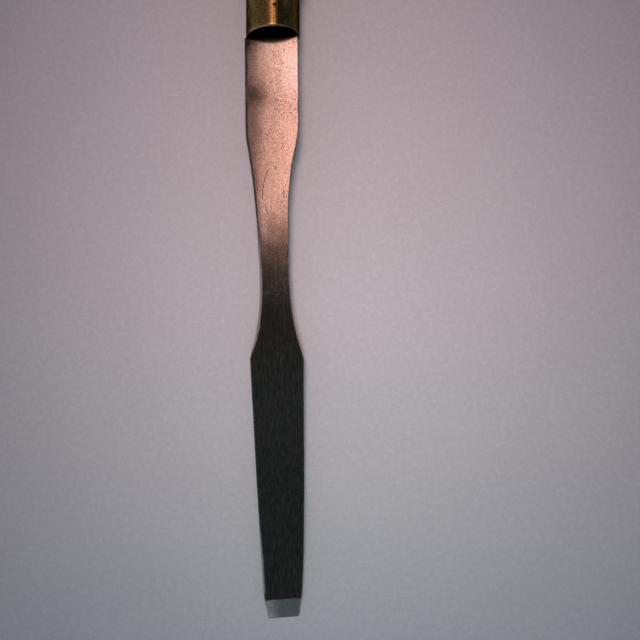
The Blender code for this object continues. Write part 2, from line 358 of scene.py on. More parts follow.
def tang_rings(solid):
    """Rings of the tang, from the blade's shoulders to its end."""
    rings = []
    for y in [-0.3 * MM] + [4 * MM * i for i in range(16)] + [solid.span(1)[1]]:
        side, half = tang_size(solid, y)
        points, _ = section(-side, side, -half, half, [TANG_ROUND] * 4)
        slant = MOUTH_SLANT if y < 0 else 0.0
        rings.append([(x, y + slant * x, z + 0.06 * MM * bumpy((x, y, z), 4 * MM, 7)) for x, z in points])
    return rings


def make_blade():
    solid = Solid("blade")
    tip, rows = blade_rows(solid)
    rng = random.Random(4)
    marks = [nicks(rng, tip + 12 * MM, -10 * MM, count) for count in NICKS]
    rings = []
    arris = []
    ground = []
    at_edge = []
    for row in rows:
        points, on_arris = section(row.left, row.right, row.back, row.face, arris_widths(row, marks))
        rings.append([blade_point(x, z, row, tip) for x, z in points])
        arris += on_arris
        ground += [1.0 if row.ground and z > row.back + 0.14 * MM else 0.0 for x, z in points]
        at_edge += [1.0 if row.y == tip else 0.0] * len(points)
    marks = {"arris": arris, "ground": ground, "edge": at_edge}
    blade = skin("blade_skin", rings + tang_rings(solid), marks=marks)
    bore(blade, pin_shape("pin_bore", PIN_RADIUS + PIN_FIT, FERRULE_RADIUS / 2))
    finish_piece(blade, "blade", worn_steel(), sharp=32)


# ---------------------------------------------------------------- pin


def find_pin():
    """The CAD pin: its radius, half its length, its setback from the mouth, and its turn off the vertical."""
    corners = np.array([c[:] for c in Solid("ferrule_pin").corners])
    low, high = corners.min(0), corners.max(0)
    top = corners[corners[:, 2] > 0].mean(0)
    turn = math.atan2(top[0], top[2])
    half_length = math.hypot(high[0], high[2]) * 0.999
    return (high[1] - low[1]) / 2, half_length, (low[1] + high[1]) / 2, turn


PIN_RADIUS, PIN_HALF, PIN_SETBACK, PIN_TURN = find_pin()


def pin_ring(radius, height):
    ring = []
    for i in range(PIN_SIDES):
        angle = math.tau * i / PIN_SIDES
        across = radius * math.cos(angle)
        x = across * math.cos(PIN_TURN) + height * math.sin(PIN_TURN)
        z = height * math.cos(PIN_TURN) - across * math.sin(PIN_TURN)
        ring.append((x, PIN_SETBACK + radius * math.sin(angle), z))
    return ring


def pin_shape(name, radius, half_length):
    return skin(name, [pin_ring(radius, height) for height in (-half_length, half_length)])


def make_pin():
    """A plain shaft with both ends riveted to low, uneven domes."""
    dome = [(share, PIN_HALF - PIN_DOME * (1 - math.cos(math.asin(share)))) for share in PIN_DOME_SHARES]
    stations = [(share, -height) for share, height in reversed(dome)]
    stations += [(1.0, (PIN_HALF - PIN_DOME) * (i / 20 - 1)) for i in range(41)]
    stations += dome
    rings = []
    for share, height in stations:
        ring = pin_ring(PIN_RADIUS * share, height)
        rings.append([(x, y, z + 0.03 * MM * bumpy((x, y, z), 0.5 * MM, 8)) for x, y, z in ring])
    finish_piece(skin("riveted_pin", rings), "ferrule_pin", dark_pin())


# ---------------------------------------------------------------- ferrule


def dents(rng, count, low, high, radius, depth):
    """Dents on a round piece: angle, place along it, radius and depth."""
    return [
        (rng.uniform(0, math.tau), rng.uniform(low, high), rng.uniform(*radius), rng.uniform(*depth))
        for _ in range(count)
    ]


def dented(angle, y, size, marks):
    """How deep the dents go at a point of a round piece of about that radius."""
    deep = 0.0
    for where, along, radius, depth in marks:
        turn = (angle - where + math.pi) % math.tau - math.pi
        apart = math.hypot(turn * size, y - along) / radius
        if apart < 1:
            deep += depth * (1 - apart * apart) ** 2
    return deep


def ferrule_profile():
    """The tube's wall as a closed line of (radius, place): outside, rim at the mouth, inside, rear rim."""
    inner = FERRULE_RADIUS - FERRULE_WALL
    straight = FERRULE_LENGTH - 2 * FERRULE_RIM
    rows = [(FERRULE_RADIUS, FERRULE_LENGTH - FERRULE_RIM - straight * i / 45) for i in range(46)]
    quarter = [math.radians(90 * k / 8) for k in range(8)]
    for angle in quarter[1:]:
        radius = FERRULE_RADIUS - FERRULE_RIM * (1 - math.cos(angle))
        rows.append((radius, FERRULE_RIM * (1 - math.sin(angle))))
    for angle in quarter:
        radius = inner + FERRULE_RIM * (1 - math.sin(angle))
        rows.append((radius, FERRULE_RIM * (1 - math.cos(angle))))
    rows += [(inner, FERRULE_RIM + (FERRULE_LENGTH - FERRULE_RIM) * i / 13) for i in range(14)]
    for angle in [math.radians(90 * k / 6) for k in range(7)]:
        radius = FERRULE_RADIUS - FERRULE_REAR_RIM * (1 - math.sin(angle))
        rows.append((radius, FERRULE_LENGTH - FERRULE_REAR_RIM * (1 - math.cos(angle))))
    return rows


def tube_point(radius, y, angle, marks):
    """A point of the tube, a little out of round, dented outside, and uneven at the mouth."""
    place = (math.cos(angle) * radius, y, math.sin(angle) * radius)
    outside = ease(radius, FERRULE_RADIUS - FERRULE_WALL, FERRULE_RADIUS)
    near_mouth = 1 - ease(y, 0.0, 6 * MM)
    radius += 0.03 * MM * math.cos(2 * angle + 0.6) + 0.012 * MM * bumpy(place, 4 * MM, 21)
    radius -= outside * dented(angle, y, FERRULE_RADIUS, marks)
    shift = near_mouth * (0.05 * MM * bumpy(place, 3 * MM, 22) + MOUTH_SLANT * place[0])
    return math.cos(angle) * radius, y + shift, math.sin(angle) * radius


def make_ferrule():
    """A length of brass tube: rolled rim at the mouth, a few dings, and hardly out of round."""
    rng = random.Random(11)
    marks = dents(rng, 9, 1 * MM, FERRULE_LENGTH, (0.8 * MM, 2.2 * MM), (0.03 * MM, 0.12 * MM))
    angles = [math.tau * i / FERRULE_SIDES for i in range(FERRULE_SIDES)]
    rings = []
    on_rim = []
    for radius, y in ferrule_profile():
        rings.append([tube_point(radius, y, angle, marks) for angle in angles])
        on_rim += [1 - ease(y, 0.2 * MM, 1.0 * MM)] * FERRULE_SIDES
    ferrule = skin("ferrule_tube", rings, loop=True, marks={"rim": on_rim})
    bore(ferrule, pin_shape("pin_bore", PIN_RADIUS + PIN_FIT, 2 * FERRULE_RADIUS))
    finish_piece(ferrule, "ferrule", old_brass())


# ---------------------------------------------------------------- handle


def stretch(start, end, step):
    """Places from start to end, a step apart, and the next place after them."""
    places = []
    while start < end:
        places.append(start)
        start += step
    return places, start


def handle_rows(solid):
    """Rings of the handle, from the nose inside the ferrule to the butt: kind, value and place.

    The value is a disc's radius, or how far a fan's rays lean backwards (degrees).
    """
    nose, end = solid.span(1)
    spigot = solid.reach((FAR, 10 * MM, 0), (-1, 0, 0)).x
    rows = [("disc", radius, nose) for radius in (0.6 * MM, 2.5 * MM, 5 * MM, 6.6 * MM, spigot - 0.5 * MM)]
    rows += [("disc", spigot - 0.15 * MM, nose + 0.12 * MM), ("disc", spigot, nose + 0.5 * MM)]
    shoulder = FERRULE_LENGTH + SHOULDER_GAP
    rows += [("disc", spigot, nose + 1 * MM + (shoulder - nose - 1 * MM) * i / 8) for i in range(9)]
    rows += [("disc", radius, shoulder) for radius in (spigot + 0.5 * MM, spigot + 1.2 * MM)]
    dome = end - BUTT_LENGTH
    on_bead, after = stretch(shoulder + 0.06 * MM, shoulder + BEAD_LENGTH, 0.22 * MM)
    on_body, _ = stretch(after, dome, 0.75 * MM)
    rows += [("round", 0.0, y) for y in on_bead + on_body]
    rows += [("fan", 88.5 * i / 40, dome) for i in range(41)]
    return rows, shoulder, end


def ray_point(solid, kind, value, y, angle):
    """A point on the CAD handle, on the ray of that ring at that angle."""
    out = Vector((math.cos(angle), 0.0, math.sin(angle)))
    if kind == "disc":
        return out * value + Vector((0, y, 0))
    lean = math.radians(value)
    direction = out * math.cos(lean) + Vector((0, math.sin(lean), 0))
    return solid.reach(Vector((0, y, 0)) + direction * FAR, -direction)


def softened(grid, rounds):
    """Averages each point of a grid of rings with its neighbours, so that hard arrises look handled."""
    for _ in range(rounds):
        around = (np.roll(grid, 1, axis=1) + 2 * grid + np.roll(grid, -1, axis=1)) / 4
        grid = around.copy()
        grid[1:-1] = (around[:-2] + 2 * around[1:-1] + around[2:]) / 4
    return grid


def handle_point(place, kind, angle, shoulder, end, marks):
    """A point of the handle, moved as turning, use, dents and blows on the butt have left it."""
    x, y, z = place
    if kind == "disc":
        return x, y, z
    size = math.hypot(x, z)
    turned = 1 - ease(y, shoulder + 8 * MM, shoulder + 30 * MM)
    rise = 0.09 * MM * bumpy(place, 22 * MM, 31) + 0.035 * MM * bumpy(place, 6 * MM, 32)
    rise += 0.012 * MM * math.sin(y / (0.42 * MM)) * turned
    rise -= dented(angle, y, max(size, 6 * MM), marks)
    rise -= 0.3 * MM * ease(y, end - 6 * MM, end) * max(0.0, bumpy(place, 5 * MM, 33))
    share = 1 + rise / max(size, 1 * MM)
    back = rise if kind == "fan" and size < 10 * MM else 0.0
    return x * share, y + back, z * share


def make_handle():
    solid = Solid("handle")
    rows, shoulder, end = handle_rows(solid)
    angles = [math.tau * i / HANDLE_SIDES for i in range(HANDLE_SIDES)]
    grid = np.array([[ray_point(solid, *row, angle)[:] for angle in angles] for row in rows])
    body = next(i for i, row in enumerate(rows) if row[2] > shoulder + BEAD_LENGTH)
    grid[body:] = softened(grid[body:], 3)
    rng = random.Random(7)
    marks = dents(rng, 26, shoulder + 14 * MM, end, (1.2 * MM, 3.4 * MM), (0.08 * MM, 0.32 * MM))
    rings = []
    for (kind, _, _), ring in zip(rows, grid):
        rings.append([
            handle_point(place, kind, angle, shoulder, end, marks) for angle, place in zip(angles, ring)
        ])
    handle = skin("turned_handle", rings)
    bore(handle, socket_shape())
    bore(handle, pin_shape("pin_bore", PIN_RADIUS + PIN_FIT, 2 * FERRULE_RADIUS))
    finish_piece(handle, "handle", handled_beech(end), sharp=48)


def socket_shape():
    """The tapered hole for the tang, a little larger than the tang all round."""
    solid = Solid("blade")
    rings = []
    for y in (-2 * MM, solid.span(1)[1] + 0.2 * MM):
        side, half = (size + SOCKET_FIT for size in tang_size(solid, y))
        rings.append([(side, y, half), (side, y, -half), (-side, y, -half), (-side, y, half)])
    return skin("tang_socket", rings)


# ---------------------------------------------------------------- material helpers


def per_lump(sizes):
    """The scale that gives a texture lumps of these sizes (mm) along x, y and z."""
    return [1 / (size * MM) for size in (sizes if isinstance(sizes, tuple) else (sizes,) * 3)]


class Finish:
    """A material's node tree with short calls for the few nodes that the finishes use.

    Its coordinates are the tool's own: metres, from the ferrule's mouth.
    """

    def __init__(self, name, on_tool=True):
        self.material = bpy.data.materials.new(name)
        self.material.use_nodes = True
        self.tree = self.material.node_tree
        self.surface = self.tree.nodes["Principled BSDF"]
        self.place = self.tree.nodes.new("ShaderNodeTexCoord").outputs["Object"]
        if on_tool:
            into_tool = TOOL.inverted()
            self.place = self.mapped((1, 1, 1), into_tool.to_euler()[:], into_tool.to_translation()[:])

    def new(self, kind):
        return self.tree.nodes.new(kind)

    def link(self, source, socket):
        if isinstance(source, tuple):
            socket.default_value = (*source, 1.0)
        elif isinstance(source, (int, float)):
            socket.default_value = source
        else:
            self.tree.links.new(source, socket)

    def set(self, **values):
        for name, value in values.items():
            self.link(value, self.surface.inputs[name.replace("_", " ")])

    def mapped(self, scale, turn=(0, 0, 0), shift=(0, 0, 0)):
        node = self.new("ShaderNodeMapping")
        node.inputs["Scale"].default_value = scale
        node.inputs["Rotation"].default_value = turn
        node.inputs["Location"].default_value = shift
        self.link(self.place, node.inputs["Vector"])
        return node.outputs["Vector"]

    def noise(self, sizes, detail=3.0, roughness=0.55, distortion=0.0, shift=(0, 0, 0)):
        node = self.new("ShaderNodeTexNoise")
        self.link(self.mapped(per_lump(sizes), shift=shift), node.inputs["Vector"])
        node.inputs["Scale"].default_value = 1.0
        node.inputs["Detail"].default_value = detail
        node.inputs["Roughness"].default_value = roughness
        node.inputs["Distortion"].default_value = distortion
        return node.outputs["Fac"]

    def cells(self, sizes):
        """Distance to the nearest of scattered points, and a random value for each point."""
        node = self.new("ShaderNodeTexVoronoi")
        self.link(self.mapped(per_lump(sizes)), node.inputs["Vector"])
        node.inputs["Scale"].default_value = 1.0
        pick = self.new("ShaderNodeSeparateColor")
        self.link(node.outputs["Color"], pick.inputs["Color"])
        return node.outputs["Distance"], pick.outputs["Red"]

    def math(self, operation, first, second=0.0):
        node = self.new("ShaderNodeMath")
        node.operation = operation
        self.link(first, node.inputs[0])
        self.link(second, node.inputs[1])
        return node.outputs["Value"]

    def times(self, first, *others):
        for other in others:
            first = self.math("MULTIPLY", first, other)
        return first

    def plus(self, first, *others):
        for other in others:
            first = self.math("ADD", first, other)
        return first

    def minus(self, first, second):
        return self.math("SUBTRACT", first, second)

    def most(self, first, *others):
        for other in others:
            first = self.math("MAXIMUM", first, other)
        return first

    def uneven(self, value, pattern, range_of_it):
        """A value that a pattern of 0 to 1 shifts to and fro over that range."""
        return self.plus(value, self.times(self.minus(pattern, 0.5), range_of_it))

    def step(self, value, low, high, bottom=0.0, top=1.0):
        """A smooth step: bottom below low, top above high."""
        node = self.new("ShaderNodeMapRange")
        node.interpolation_type = "SMOOTHSTEP"
        self.link(value, node.inputs["Value"])
        node.inputs["From Min"].default_value = low
        node.inputs["From Max"].default_value = high
        node.inputs["To Min"].default_value = bottom
        node.inputs["To Max"].default_value = top
        return node.outputs["Result"]

    def near(self, value, place, width):
        """1 at the place, falling smoothly to 0 a width away from it."""
        apart = self.math("ABSOLUTE", self.minus(value, place))
        return self.step(apart, 0.0, width, 1.0, 0.0)

    def mix(self, share, first, second):
        """The first colour where the share is 0, and the second where it is 1."""
        node = self.new("ShaderNodeMix")
        node.data_type = "RGBA"
        sockets = {socket.identifier: socket for socket in (*node.inputs, *node.outputs)}
        self.link(share, sockets["Factor_Float"])
        self.link(first, sockets["A_Color"])
        self.link(second, sockets["B_Color"])
        return sockets["Result_Color"]

    def axes(self):
        node = self.new("ShaderNodeSeparateXYZ")
        self.link(self.place, node.inputs["Vector"])
        return node.outputs["X"], node.outputs["Y"], node.outputs["Z"]

    def mark(self, name):
        node = self.new("ShaderNodeAttribute")
        node.attribute_name = name
        return node.outputs["Fac"]

    def bump(self, height, depth, below=None):
        """Relief of that depth (mm) from a height of 0 to 1."""
        node = self.new("ShaderNodeBump")
        node.inputs["Strength"].default_value = 1.0
        node.inputs["Distance"].default_value = depth * MM
        self.link(height, node.inputs["Height"])
        if below is not None:
            self.link(below, node.inputs["Normal"])
        return node.outputs["Normal"]


# ---------------------------------------------------------------- steel

CLEAN_STEEL = (0.60, 0.565, 0.53)
PALE_STEEL = (0.70, 0.66, 0.62)
BROWNED_STEEL = (0.46, 0.38, 0.325)
# Painted reflection: the cool tint of the working end.
PAINTED_COOL_REFLECTION = (0.33, 0.50, 0.52)
LIGHTER_COOL_STEEL = (0.62, 0.74, 0.76)
STRAW_STAIN = (0.52, 0.46, 0.26)
BLUE_STAIN = (0.22, 0.42, 0.56)
DARK_STREAK = (0.07, 0.07, 0.07)
BRIGHT_STREAK = (1.0, 1.0, 1.0)
# Painted shade: a dark band just below the waist.
PAINTED_WAIST_SHADE = (0.11, 0.10, 0.085)
PIT = (0.22, 0.10, 0.06)
WIDE_PIT = (0.18, 0.09, 0.055)
DARK_GRIT = (0.36, 0.25, 0.19)
BRIGHT_GRIT = (0.84, 0.80, 0.76)
AGED_STEEL = (0.20, 0.155, 0.13)
# Painted reflection: a pale area on the right of the strap near the mouth.
PAINTED_PALE_REFLECTION = (0.60, 0.66, 0.70)
DARK_BAND = (0.12, 0.085, 0.065)
GREASE = (0.070, 0.063, 0.060)
# Painted shade by the ferrule's mouth: in the strap's left corner and along the mouth.
PAINTED_CORNER_SHADE = (0.045, 0.034, 0.028)
PAINTED_MOUTH_SHADE = (0.13, 0.042, 0.036)
# Painted light and shade half-way down the blade: lighter on the left, darker on the right.
PAINTED_LIGHT_HALF_WAY = (0.95, 0.90, 0.86)
PAINTED_SHADE_HALF_WAY = (0.14, 0.11, 0.10)
DARK_CUT = (0.05, 0.03, 0.025)
BRIGHT_CUT = (1.0, 0.97, 0.92)
HONED_DARK = (0.40, 0.43, 0.46)
HONED_BRIGHT = (0.64, 0.67, 0.70)
# Painted shade on the right of the bevel.
PAINTED_BEVEL_SHADE = (0.13, 0.143, 0.152)
BEVEL_GRIT = (0.16, 0.165, 0.17)
EDGE_LINE = (0.07, 0.075, 0.08)
BRIGHT_ARRIS = (0.66, 0.65, 0.63)
BROWN_SKIN = (0.085, 0.066, 0.052)
BROWN_SKIN_SHEEN = (0.05, 0.04, 0.035)
# Rubbed wear and a painted pale highlight on the left arris.
RUBBED_ARRIS_HIGHLIGHT = (0.44, 0.43, 0.41)
WHITE = (1.0, 1.0, 1.0)


class Steel(Finish):
    """The blade's finish, with the places and noises that its layers share. Its blots and cuts are in mm."""

    def __init__(self):
        super().__init__("worn_steel")
        self.x, self.y, self.z = self.axes()
        self.cloud = self.noise((22.0, 34.0, 22.0), detail=5.0)
        self.mottle = self.noise(2.6, detail=5.0, roughness=0.65)
        self.grit = self.noise(0.55, detail=3.0, roughness=0.7)
        self.lines = self.noise((0.45, 30.0, 0.45), detail=4.0, roughness=0.65)
        self.crossing = self.noise((9.0, 0.35, 9.0), detail=3.0, distortion=0.3)
        self.blotch = self.noise(1.5, detail=4.0, roughness=0.6, distortion=0.9, shift=(3.0, 1.0, 2.0))
        self.wander = self.times(self.minus(self.noise(2.4, detail=1.0), 0.5), 0.4 * MM)
        self.ground = self.mark("ground")
        self.arris = self.mark("arris")
        self.lower = self.step(self.y, -104 * MM, -70 * MM, 1.0, 0.0)
        self.on_face = self.step(self.z, 0.5 * MM, 1.0 * MM)

    def blot(self, middle, half, raggedness):
        """Distance from the middle of a ragged blot on the blade, in shares of its half size."""
        across = self.math("DIVIDE", self.minus(self.x, middle[0] * MM), half[0] * MM)
        along = self.math("DIVIDE", self.minus(self.y, middle[1] * MM), half[1] * MM)
        apart = self.math("SQRT", self.plus(self.times(across, across), self.times(along, along)))
        return self.uneven(apart, self.blotch, raggedness)

    def cut(self, start, end, path, width):
        """A cut from start to end along the blade, whose x is a quadratic in the share of the way."""
        share = self.math("DIVIDE", self.minus(self.y, start * MM), (end - start) * MM)
        bend = self.times(share, share, path[2] * MM)
        curve = self.plus(path[0] * MM, self.times(share, path[1] * MM), bend)
        line = self.near(self.plus(self.x, self.wander), curve, width * MM)
        return self.times(line, self.step(share, -0.02, 0.12), self.step(share, 0.88, 1.02, 1.0, 0.0))


def lower_blade(s, metal):
    """The working end: a cool tint painted as a dim reflection, brushed lengthwise and stained, and darkest
    below the waist with painted shade.
    """
    # Painted reflection: a cool tint over the working end.
    metal = s.mix(s.times(s.lower, 0.90), metal, PAINTED_COOL_REFLECTION)
    # A lighter cool patch lower down on the working end.
    lighter_patch = s.times(s.near(s.uneven(s.y, s.mottle, 20 * MM), -138 * MM, 24 * MM), s.lower)
    metal = s.mix(s.times(lighter_patch, 0.55), metal, LIGHTER_COOL_STEEL)
    brushed = s.noise((0.36, 3.4, 0.36), detail=4.0, roughness=0.8, shift=(5.0, 2.0, 1.0))
    stain = s.noise((2.2, 4.0, 2.2), detail=3.0, roughness=0.6, shift=(1.0, 6.0, 2.0))
    for share, colour in (
        (s.step(stain, 0.50, 0.66, 0.0, 0.40), STRAW_STAIN),
        (s.step(stain, 0.32, 0.46, 0.40, 0.0), BLUE_STAIN),
        (s.step(brushed, 0.38, 0.54, 0.66, 0.0), DARK_STREAK),
        (s.step(brushed, 0.50, 0.64, 0.0, 0.66), BRIGHT_STREAK),
    ):
        metal = s.mix(s.times(s.lower, share), metal, colour)
    # Painted shade: darkest just below the waist.
    below_waist = s.near(s.uneven(s.y, stain, 12 * MM), -101 * MM, 17 * MM)
    return s.mix(s.times(below_waist, 0.42), metal, PAINTED_WAIST_SHADE)


def pitting(s):
    """Fine pits, thicker in some places than in others and rare at the mouth, and wider shallow ones."""
    pock = s.noise(0.42, detail=2.0, roughness=0.5)
    crowd = s.step(s.noise((6.0, 10.0, 6.0), detail=3.0), 0.34, 0.64, -0.01, 0.08)
    crowd = s.plus(crowd, s.step(s.y, -13 * MM, -8 * MM, 0.0, -0.06))
    pits = s.step(s.minus(pock, crowd), 0.28, 0.40, 1.0, 0.0)
    return pits, s.step(s.blotch, 0.26, 0.34, 1.0, 0.0)


def pitted(s, metal, pits, wide):
    """The steel with its pits, the wide ones on the strap only, and with light and dark grit."""
    upper = s.minus(1.0, s.lower)
    metal = s.mix(s.times(pits, s.step(s.lower, 0.0, 1.0, 0.88, 0.50)), metal, PIT)
    metal = s.mix(s.times(wide, upper, 0.50), metal, WIDE_PIT)
    metal = s.mix(s.step(s.grit, 0.34, 0.62, 0.26, 0.0), metal, DARK_GRIT)
    return s.mix(s.step(s.grit, 0.54, 0.70, 0.0, 0.38), metal, BRIGHT_GRIT)


def aged_strap(s, metal):
    """The strap has darkened, most of all half-way along it, and has a painted pale reflection on its right
    near the mouth.
    """
    aged = s.times(s.step(s.y, -22 * MM, -6 * MM, 0.35, 0.17), s.step(s.lower, 0.0, 1.0, 1.0, 0.3))
    metal = s.mix(aged, metal, AGED_STEEL)
    # Painted reflection: pale on the right of the strap near the mouth.
    pale = s.times(s.step(s.x, -1 * MM, 8 * MM), s.near(s.y, -12.5 * MM, 12 * MM))
    metal = s.mix(s.times(pale, 0.65), metal, PAINTED_PALE_REFLECTION)
    band = s.near(s.uneven(s.y, s.blotch, 10 * MM), -23.5 * MM, 6.5 * MM)
    return s.mix(s.times(band, s.step(s.x, -4 * MM, 6 * MM, 0.38, 0.0)), metal, DARK_BAND)


def grease(s):
    """A dark greasy patch by the left side of the strap, with a tail towards the waist."""
    patch = s.step(s.blot((-7.0, -21.0), (5.0, 6.4), 1.1), 0.0, 1.45, 0.93, 0.0)
    tail = s.step(s.blot((-7.0, -32.0), (3.4, 15.0), 1.9), 0.2, 1.5, 0.50, 0.0)
    return s.times(s.most(patch, tail), s.on_face, s.step(s.grit, 0.36, 0.60, 1.0, 0.84))


def shade_at_mouth(s, metal):
    """Painted shade in the left corner of the strap by the ferrule, and a thin strip of painted shade along
    the mouth.
    """
    # Painted shadow of the ferrule in the strap's left corner.
    corner = s.step(s.blot((-9.8, -1.2), (5.2, 6.5), 1.2), 0.2, 1.3, 0.92, 0.0)
    metal = s.mix(s.times(corner, s.on_face), metal, PAINTED_CORNER_SHADE)
    # Painted shade along the mouth, where the dark mouth mirrors in the steel.
    along_mouth = s.uneven(s.plus(s.y, s.times(s.x, -MOUTH_SLANT)), s.blotch, 1.2 * MM)
    return s.mix(s.step(along_mouth, -3.4 * MM, -0.3 * MM, 0.0, 0.90), metal, PAINTED_MOUTH_SHADE)


def half_way_light_and_shade(s, metal):
    """Half-way down, painted light makes the left side lighter and painted shade makes the right side darker.
    """
    turn = s.near(s.y, -70 * MM, 16 * MM)
    metal = s.mix(s.times(turn, s.step(s.x, -3.5 * MM, -0.5 * MM, 0.55, 0.0)), metal, PAINTED_LIGHT_HALF_WAY)
    return s.mix(s.times(turn, s.step(s.x, 1 * MM, 4 * MM, 0.0, 0.38)), metal, PAINTED_SHADE_HALF_WAY)


def dark_cuts(s):
    """Scratches that have gone dark, and one deep dot."""
    dot = s.step(s.blot((1.1, -47.6), (0.42, 0.42), 0.6), 0.5, 1.1, 1.0, 0.0)
    cuts = s.most(
        s.cut(-47.8, -59.1, (-1.3, -5.5, 3.45), 0.27),
        s.cut(-54.6, -58.4, (3.9, 0.1, 0.1), 0.22),
        s.cut(-60.3, -64.4, (-2.6, 1.2, -0.3), 0.24),
        dot,
    )
    return s.times(cuts, s.on_face)


def bright_cuts(s):
    """A long light scratch down the working end, and light file marks across the waist."""
    line = s.cut(-109.5, -130.0, (3.1, 0.8, 0.0), 0.20)
    strokes = s.times(s.step(s.crossing, 0.56, 0.66), s.step(s.x, -2 * MM, 4 * MM, 1.0, 0.3))
    file_marks = s.times(s.near(s.y, -92.5 * MM, 5 * MM), strokes)
    return s.times(s.most(s.times(line, 0.7), s.times(file_marks, 0.8)), s.on_face)


def honed_bevel(s, metal):
    """The bevel is fresh steel, ground across, darkened towards its right by painted shade, with a dark line
    at the edge.
    """
    honed = s.mix(s.step(s.crossing, 0.35, 0.65), HONED_DARK, HONED_BRIGHT)
    # Painted shade: the bevel darker towards its right.
    bevel_shade = s.step(s.uneven(s.x, s.mottle, 3 * MM), -1.2 * MM, 3 * MM)
    honed = s.mix(s.times(bevel_shade, 0.78), honed, PAINTED_BEVEL_SHADE)
    honed = s.mix(s.step(s.grit, 0.38, 0.62, 0.45, 0.0), honed, BEVEL_GRIT)
    honed = s.mix(s.step(s.mark("edge"), 0.1, 0.9, 0.0, 0.85), honed, EDGE_LINE)
    return s.mix(s.ground, metal, honed)


def above_face(s):
    """Height above the blade's tapering face, so it is negative on the sides and the back."""
    return s.minus(s.z, s.plus(s.times(s.y, FACE_TAPER), FACE_HEIGHT))


def rubbed_highlit_arrises(s, height):
    """Where the left arris of the face is rubbed and painted with a pale highlight: at the waist, and near
    the bevel.
    """
    waist = s.times(s.step(s.y, -116 * MM, -106 * MM), s.step(s.y, -86 * MM, -66 * MM, 1.0, 0.0))
    near_bevel = s.times(s.step(s.y, -199 * MM, -196 * MM), s.step(s.y, -184 * MM, -168 * MM, 0.8, 0.12))
    rubbed_highlight = s.times(s.arris, s.step(s.x, -1 * MM, 0.0, 1.0, 0.0), s.plus(waist, near_bevel))
    return s.times(rubbed_highlight, s.step(height, -0.23 * MM, -0.12 * MM), s.step(s.grit, 0.32, 0.52, 0.4, 1.0))


def worn_steel():
    """The blade's layers, from bare steel through painted reflection and shade, pits, age, grease and
    scratches to its rubbed arrises with a painted highlight.
    """
    s = Steel()
    metal = s.mix(s.step(s.cloud, 0.35, 0.65), CLEAN_STEEL, PALE_STEEL)
    metal = s.mix(s.step(s.mottle, 0.40, 0.66, 0.0, 0.38), metal, BROWNED_STEEL)
    metal = lower_blade(s, metal)
    pits, wide = pitting(s)
    metal = pitted(s, metal, pits, wide)
    metal = aged_strap(s, metal)
    smudge = grease(s)
    metal = s.mix(smudge, metal, GREASE)
    metal = shade_at_mouth(s, metal)
    metal = half_way_light_and_shade(s, metal)
    cuts = dark_cuts(s)
    metal = s.mix(s.times(cuts, 0.85), metal, DARK_CUT)
    metal = s.mix(bright_cuts(s), metal, BRIGHT_CUT)
    metal = honed_bevel(s, metal)

    # The sides and the back keep a brown skin, and the arrises are rubbed; the left one also gets a painted
    # pale highlight.
    height = above_face(s)
    skin_share = s.times(s.step(height, -0.30 * MM, -0.20 * MM, 0.72, 0.0), s.minus(1.0, s.ground))
    skin_share = s.times(skin_share, s.step(s.cloud, 0.3, 0.7, 1.0, 0.75))
    metal = s.mix(s.times(s.arris, s.step(s.mottle, 0.35, 0.6), 0.6), metal, BRIGHT_ARRIS)
    metal = s.mix(skin_share, metal, BROWN_SKIN)
    rubbed_highlight = rubbed_highlit_arrises(s, height)
    metal = s.mix(rubbed_highlight, metal, RUBBED_ARRIS_HIGHLIGHT)
    s.set(Base_Color=metal, Metallic=s.step(rubbed_highlight, 0.0, 1.0, 1.0, 0.35))
    s.set(Specular_Tint=s.mix(skin_share, WHITE, BROWN_SKIN_SHEEN))

    rough = s.plus(s.step(s.grit, 0.25, 0.75, 0.20, 0.13), s.step(s.lines, 0.35, 0.65, -0.01, 0.02))
    rough = s.plus(rough, s.times(smudge, 0.16), s.times(pits, 0.10))
    s.set(Roughness=s.plus(rough, s.times(s.ground, 0.12), s.times(rubbed_highlight, 0.3)))

    relief = s.bump(s.lines, 0.0012, s.bump(s.mottle, 0.012))
    grinding = s.times(s.crossing, s.plus(s.ground, s.times(s.lower, 0.25)))
    relief = s.bump(s.grit, 0.0016, s.bump(grinding, 0.010, relief))
    hollows = s.most(pits, cuts, s.times(wide, 0.6))
    s.set(Normal=s.bump(s.minus(1.0, hollows), 0.0030, relief))
    return s.material


# ---------------------------------------------------------------- brass, beech, the pin and the sheet

DEEP_BRASS = (0.66, 0.46, 0.17)
FRESH_BRASS = (1.0, 0.72, 0.32)
BRASS_SPECK = (0.10, 0.085, 0.035)
BRASS_RUB = (0.90, 0.68, 0.30)
BRASS_CRUST = (0.08, 0.055, 0.03)
# Painted shade: a dark streak right of the ferrule's crown.
PAINTED_BRASS_SHADE_STREAK = (0.13, 0.085, 0.045)
# Polished wear and a painted highlight on the ferrule's rim.
BRASS_RIM_HIGHLIGHT = (1.0, 0.82, 0.30)
# Tarnish and painted shade on the ferrule's sides.
DARK_TARNISH_AND_SHADE = (0.046, 0.034, 0.018)
PALE_TARNISH_AND_SHADE = (0.155, 0.125, 0.062)
# Dirt and painted shade inside the ferrule's bore.
BORE_DIRT_AND_SHADE = (0.05, 0.035, 0.02)
BRASS_SHEEN = (0.22, 0.16, 0.09)


